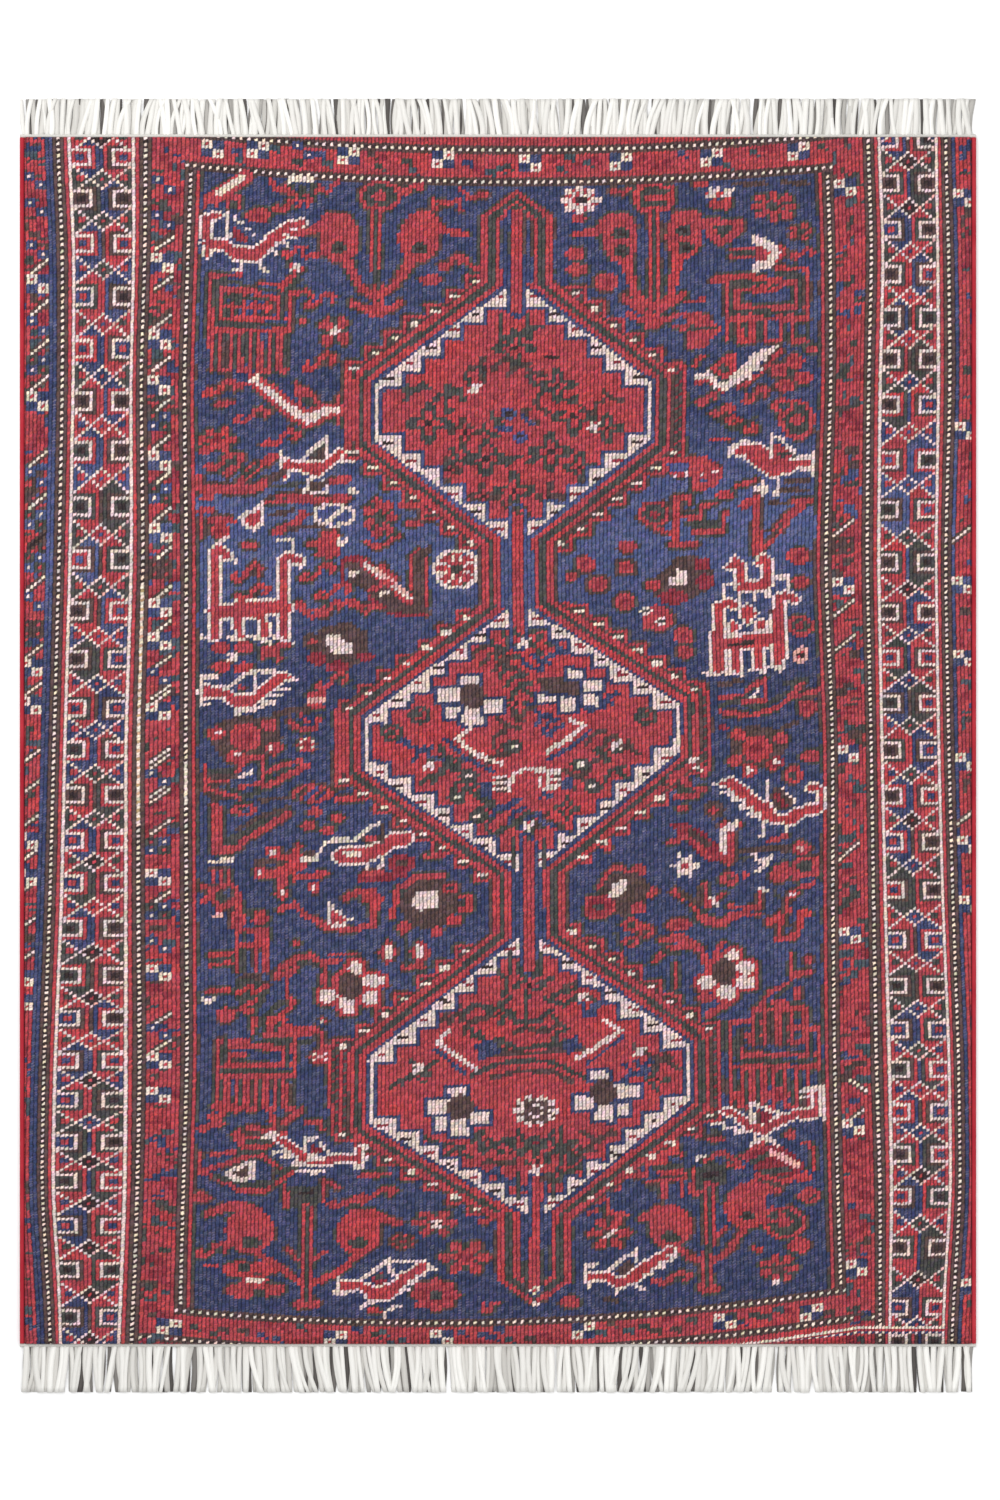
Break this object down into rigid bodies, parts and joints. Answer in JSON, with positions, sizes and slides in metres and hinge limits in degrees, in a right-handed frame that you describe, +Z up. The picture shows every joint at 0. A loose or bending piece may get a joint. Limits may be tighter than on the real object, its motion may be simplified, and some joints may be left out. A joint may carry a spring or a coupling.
{
  "type": "shiraz rug",
  "caption": "Flat hand-knotted wool rug with a pole medallion design on a navy field, red borders, overcast side edges and a cut white warp fringe at both ends.",
  "frame": {"origin": "centre of the rug's footprint, fringes included, at its underside", "axes": "+X across the rug, to the right seen from above; +Y along its length, to the end at the top of the picture; +Z up"},
  "size_m": [1.15, 1.557, 0.009],
  "materials": {
    "pile_wool": "knotted wool pile in madder red, indigo navy, dark green, brown and ivory",
    "overcast_wool": "crimson wool yarn wound round the side warps",
    "warp_cotton": "undyed off-white cotton warps, cut straight"
  },
  "bodies": {
    "root": {"rug": "pile_wool", "selvedge_left": "overcast_wool", "selvedge_right": "overcast_wool", "fringe_top": "warp_cotton", "fringe_bottom": "warp_cotton"}
  },
  "joints": []
}
